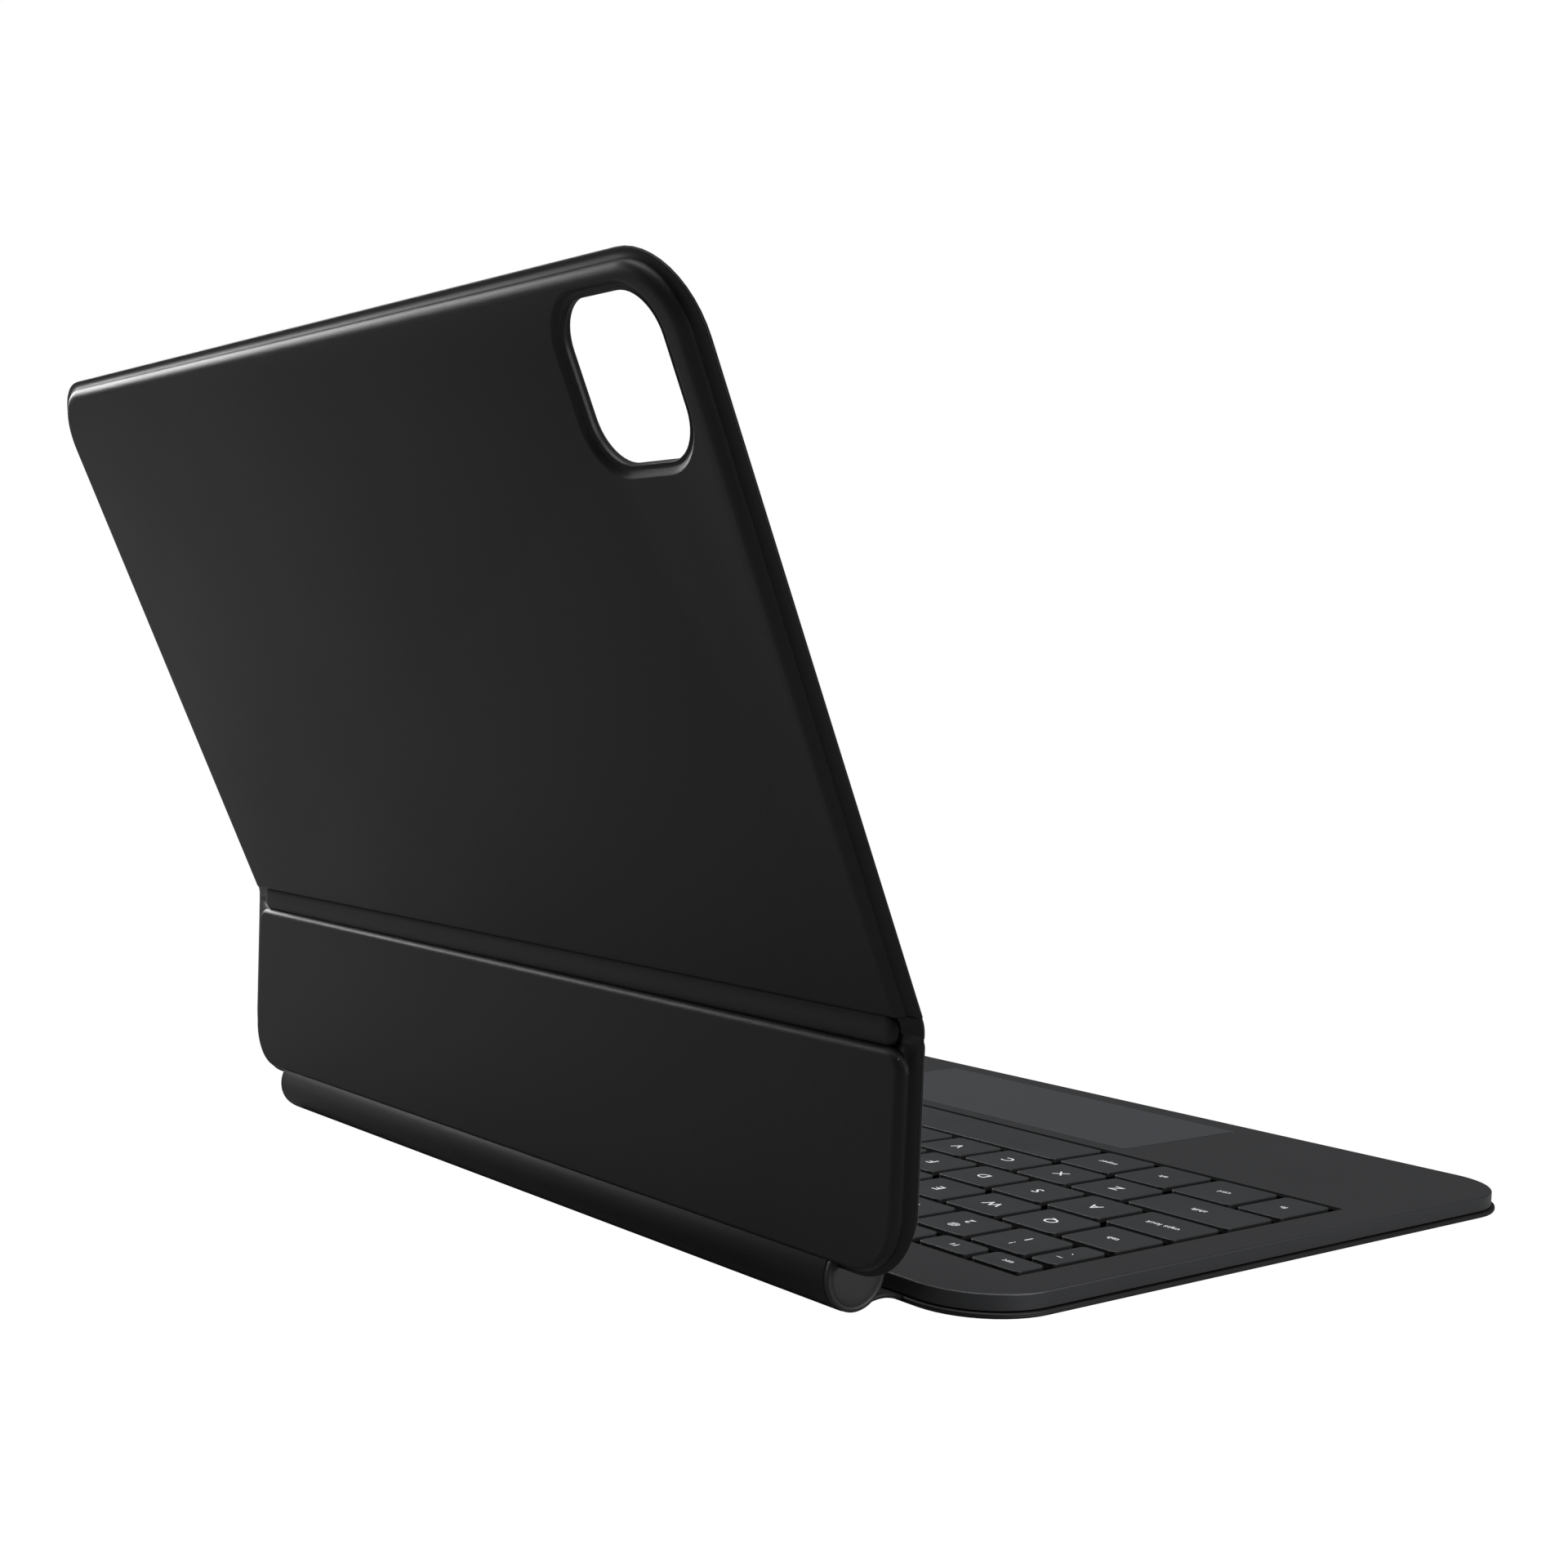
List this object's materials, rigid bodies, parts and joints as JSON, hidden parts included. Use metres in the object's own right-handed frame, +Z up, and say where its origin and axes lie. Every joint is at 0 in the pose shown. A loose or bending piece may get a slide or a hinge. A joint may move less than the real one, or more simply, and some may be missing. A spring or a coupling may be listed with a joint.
{
  "type": "tablet keyboard case",
  "caption": "Folding tablet keyboard case: a slim keyboard base with a barrel hinge and a two-part leaning cover with a camera cut-out.",
  "frame": {"origin": "centre of the keyboard base's footprint, on the desk", "axes": "+X to the user's right, +Y away from the user, +Z up; shown open in use"},
  "size_m": [0.251, 0.2411, 0.1745],
  "materials": {
    "cover_skin": "soft-touch matt polyurethane skin",
    "lining": "fine brushed microfibre lining",
    "steel": "plain rolled steel",
    "deck_metal": "bead-blasted and dyed dark grey",
    "membrane_film": "printed polyester film",
    "dome_rubber": "translucent silicone rubber",
    "trackpad_glass": "etched glass, satin",
    "circuit_board": "solder-masked board",
    "end_cap_plastic": "moulded, fine texture",
    "stiff_board": "glass-fibre board",
    "magnet_plating": "nickel plated",
    "contact_gold": "gold plated",
    "key_plastic": "fine matt moulded plastic"
  },
  "bodies": {
    "keyboard_base": {"base_skin": "cover_skin", "bottom_tray": "steel", "deck": "deck_metal", "key_support_plate": "steel", "key_membrane": "membrane_film", "rubber_domes": "dome_rubber", "trackpad_frame": "steel", "trackpad_switch": "dome_rubber", "main_board": "circuit_board", "case_screws": "steel", "hinge_barrel": "steel", "hinge_pin": "steel", "barrel_end_caps": "end_cap_plastic", "barrel_skin": "cover_skin"},
    "lower_panel": {"lower_inner_skin": "lining", "lower_outer_skin": "cover_skin", "lower_board": "stiff_board", "hinge_leaves": "steel", "fold_leaves_lower": "steel"},
    "upper_panel": {"upper_inner_skin": "lining", "upper_outer_skin": "cover_skin", "upper_board": "stiff_board", "fold_leaves_upper": "steel", "fold_pins": "steel", "panel_magnets": "magnet_plating", "contact_block": "end_cap_plastic", "contact_pins": "contact_gold"},
    "trackpad": {"trackpad": "trackpad_glass"},
    "cap_q": {"key_q": "key_plastic"},
    "cap_w": {"key_w": "key_plastic"},
    "cap_e": {"key_e": "key_plastic"},
    "cap_r": {"key_r": "key_plastic"},
    "cap_t": {"key_t": "key_plastic"},
    "cap_y": {"key_y": "key_plastic"},
    "cap_u": {"key_u": "key_plastic"},
    "cap_i": {"key_i": "key_plastic"},
    "cap_o": {"key_o": "key_plastic"},
    "cap_p": {"key_p": "key_plastic"},
    "cap_a": {"key_a": "key_plastic"},
    "cap_s": {"key_s": "key_plastic"},
    "cap_d": {"key_d": "key_plastic"},
    "cap_f": {"key_f": "key_plastic"},
    "cap_g": {"key_g": "key_plastic"},
    "cap_h": {"key_h": "key_plastic"},
    "cap_j": {"key_j": "key_plastic"},
    "cap_k": {"key_k": "key_plastic"},
    "cap_l": {"key_l": "key_plastic"},
    "cap_z": {"key_z": "key_plastic"},
    "cap_x": {"key_x": "key_plastic"},
    "cap_c": {"key_c": "key_plastic"},
    "cap_v": {"key_v": "key_plastic"},
    "cap_b": {"key_b": "key_plastic"},
    "cap_n": {"key_n": "key_plastic"},
    "cap_m": {"key_m": "key_plastic"},
    "cap_space": {"key_space": "key_plastic"},
    "cap_return": {"key_return": "key_plastic"},
    "function_row_caps": {"function_row_keys": "key_plastic"},
    "number_and_symbol_caps": {"number_and_symbol_keys": "key_plastic"},
    "modifier_and_arrow_caps": {"modifier_and_arrow_keys": "key_plastic"}
  },
  "joints": [
    {"name": "panel_hinge", "type": "hinge", "parent": "keyboard_base", "child": "lower_panel", "pos_m": [0, 0.0959, 0.007], "axis": [-1, 0, 0], "range_deg": [-90, 8]},
    {"name": "fold_hinge", "type": "hinge", "parent": "lower_panel", "child": "upper_panel", "pos_m": [0, 0.1009, 0.0534], "axis": [-1, 0, 0], "range_deg": [-24.7, 12]},
    {"name": "trackpad_click", "type": "slide", "parent": "keyboard_base", "child": "trackpad", "axis": [0, 0, -1], "range_m": [0, 0.00025], "stiffness_N_per_m": 2500, "springref_m": -0.0005},
    {"name": "press_q", "type": "slide", "parent": "keyboard_base", "child": "cap_q", "axis": [0, 0, -1], "range_m": [0, 0.0009], "stiffness_N_per_m": 300, "springref_m": -0.001},
    {"name": "press_w", "type": "slide", "parent": "keyboard_base", "child": "cap_w", "axis": [0, 0, -1], "range_m": [0, 0.0009], "stiffness_N_per_m": 300, "springref_m": -0.001},
    {"name": "press_e", "type": "slide", "parent": "keyboard_base", "child": "cap_e", "axis": [0, 0, -1], "range_m": [0, 0.0009], "stiffness_N_per_m": 300, "springref_m": -0.001},
    {"name": "press_r", "type": "slide", "parent": "keyboard_base", "child": "cap_r", "axis": [0, 0, -1], "range_m": [0, 0.0009], "stiffness_N_per_m": 300, "springref_m": -0.001},
    {"name": "press_t", "type": "slide", "parent": "keyboard_base", "child": "cap_t", "axis": [0, 0, -1], "range_m": [0, 0.0009], "stiffness_N_per_m": 300, "springref_m": -0.001},
    {"name": "press_y", "type": "slide", "parent": "keyboard_base", "child": "cap_y", "axis": [0, 0, -1], "range_m": [0, 0.0009], "stiffness_N_per_m": 300, "springref_m": -0.001},
    {"name": "press_u", "type": "slide", "parent": "keyboard_base", "child": "cap_u", "axis": [0, 0, -1], "range_m": [0, 0.0009], "stiffness_N_per_m": 300, "springref_m": -0.001},
    {"name": "press_i", "type": "slide", "parent": "keyboard_base", "child": "cap_i", "axis": [0, 0, -1], "range_m": [0, 0.0009], "stiffness_N_per_m": 300, "springref_m": -0.001},
    {"name": "press_o", "type": "slide", "parent": "keyboard_base", "child": "cap_o", "axis": [0, 0, -1], "range_m": [0, 0.0009], "stiffness_N_per_m": 300, "springref_m": -0.001},
    {"name": "press_p", "type": "slide", "parent": "keyboard_base", "child": "cap_p", "axis": [0, 0, -1], "range_m": [0, 0.0009], "stiffness_N_per_m": 300, "springref_m": -0.001},
    {"name": "press_a", "type": "slide", "parent": "keyboard_base", "child": "cap_a", "axis": [0, 0, -1], "range_m": [0, 0.0009], "stiffness_N_per_m": 300, "springref_m": -0.001},
    {"name": "press_s", "type": "slide", "parent": "keyboard_base", "child": "cap_s", "axis": [0, 0, -1], "range_m": [0, 0.0009], "stiffness_N_per_m": 300, "springref_m": -0.001},
    {"name": "press_d", "type": "slide", "parent": "keyboard_base", "child": "cap_d", "axis": [0, 0, -1], "range_m": [0, 0.0009], "stiffness_N_per_m": 300, "springref_m": -0.001},
    {"name": "press_f", "type": "slide", "parent": "keyboard_base", "child": "cap_f", "axis": [0, 0, -1], "range_m": [0, 0.0009], "stiffness_N_per_m": 300, "springref_m": -0.001},
    {"name": "press_g", "type": "slide", "parent": "keyboard_base", "child": "cap_g", "axis": [0, 0, -1], "range_m": [0, 0.0009], "stiffness_N_per_m": 300, "springref_m": -0.001},
    {"name": "press_h", "type": "slide", "parent": "keyboard_base", "child": "cap_h", "axis": [0, 0, -1], "range_m": [0, 0.0009], "stiffness_N_per_m": 300, "springref_m": -0.001},
    {"name": "press_j", "type": "slide", "parent": "keyboard_base", "child": "cap_j", "axis": [0, 0, -1], "range_m": [0, 0.0009], "stiffness_N_per_m": 300, "springref_m": -0.001},
    {"name": "press_k", "type": "slide", "parent": "keyboard_base", "child": "cap_k", "axis": [0, 0, -1], "range_m": [0, 0.0009], "stiffness_N_per_m": 300, "springref_m": -0.001},
    {"name": "press_l", "type": "slide", "parent": "keyboard_base", "child": "cap_l", "axis": [0, 0, -1], "range_m": [0, 0.0009], "stiffness_N_per_m": 300, "springref_m": -0.001},
    {"name": "press_z", "type": "slide", "parent": "keyboard_base", "child": "cap_z", "axis": [0, 0, -1], "range_m": [0, 0.0009], "stiffness_N_per_m": 300, "springref_m": -0.001},
    {"name": "press_x", "type": "slide", "parent": "keyboard_base", "child": "cap_x", "axis": [0, 0, -1], "range_m": [0, 0.0009], "stiffness_N_per_m": 300, "springref_m": -0.001},
    {"name": "press_c", "type": "slide", "parent": "keyboard_base", "child": "cap_c", "axis": [0, 0, -1], "range_m": [0, 0.0009], "stiffness_N_per_m": 300, "springref_m": -0.001},
    {"name": "press_v", "type": "slide", "parent": "keyboard_base", "child": "cap_v", "axis": [0, 0, -1], "range_m": [0, 0.0009], "stiffness_N_per_m": 300, "springref_m": -0.001},
    {"name": "press_b", "type": "slide", "parent": "keyboard_base", "child": "cap_b", "axis": [0, 0, -1], "range_m": [0, 0.0009], "stiffness_N_per_m": 300, "springref_m": -0.001},
    {"name": "press_n", "type": "slide", "parent": "keyboard_base", "child": "cap_n", "axis": [0, 0, -1], "range_m": [0, 0.0009], "stiffness_N_per_m": 300, "springref_m": -0.001},
    {"name": "press_m", "type": "slide", "parent": "keyboard_base", "child": "cap_m", "axis": [0, 0, -1], "range_m": [0, 0.0009], "stiffness_N_per_m": 300, "springref_m": -0.001},
    {"name": "press_space", "type": "slide", "parent": "keyboard_base", "child": "cap_space", "axis": [0, 0, -1], "range_m": [0, 0.0009], "stiffness_N_per_m": 300, "springref_m": -0.001},
    {"name": "press_return", "type": "slide", "parent": "keyboard_base", "child": "cap_return", "axis": [0, 0, -1], "range_m": [0, 0.0009], "stiffness_N_per_m": 300, "springref_m": -0.001},
    {"name": "press_function_row", "type": "slide", "parent": "keyboard_base", "child": "function_row_caps", "axis": [0, 0, -1], "range_m": [0, 0.0009], "stiffness_N_per_m": 900, "springref_m": -0.001},
    {"name": "press_number_and_symbol", "type": "slide", "parent": "keyboard_base", "child": "number_and_symbol_caps", "axis": [0, 0, -1], "range_m": [0, 0.0009], "stiffness_N_per_m": 900, "springref_m": -0.001},
    {"name": "press_modifier_and_arrow", "type": "slide", "parent": "keyboard_base", "child": "modifier_and_arrow_caps", "axis": [0, 0, -1], "range_m": [0, 0.0009], "stiffness_N_per_m": 900, "springref_m": -0.001}
  ]
}
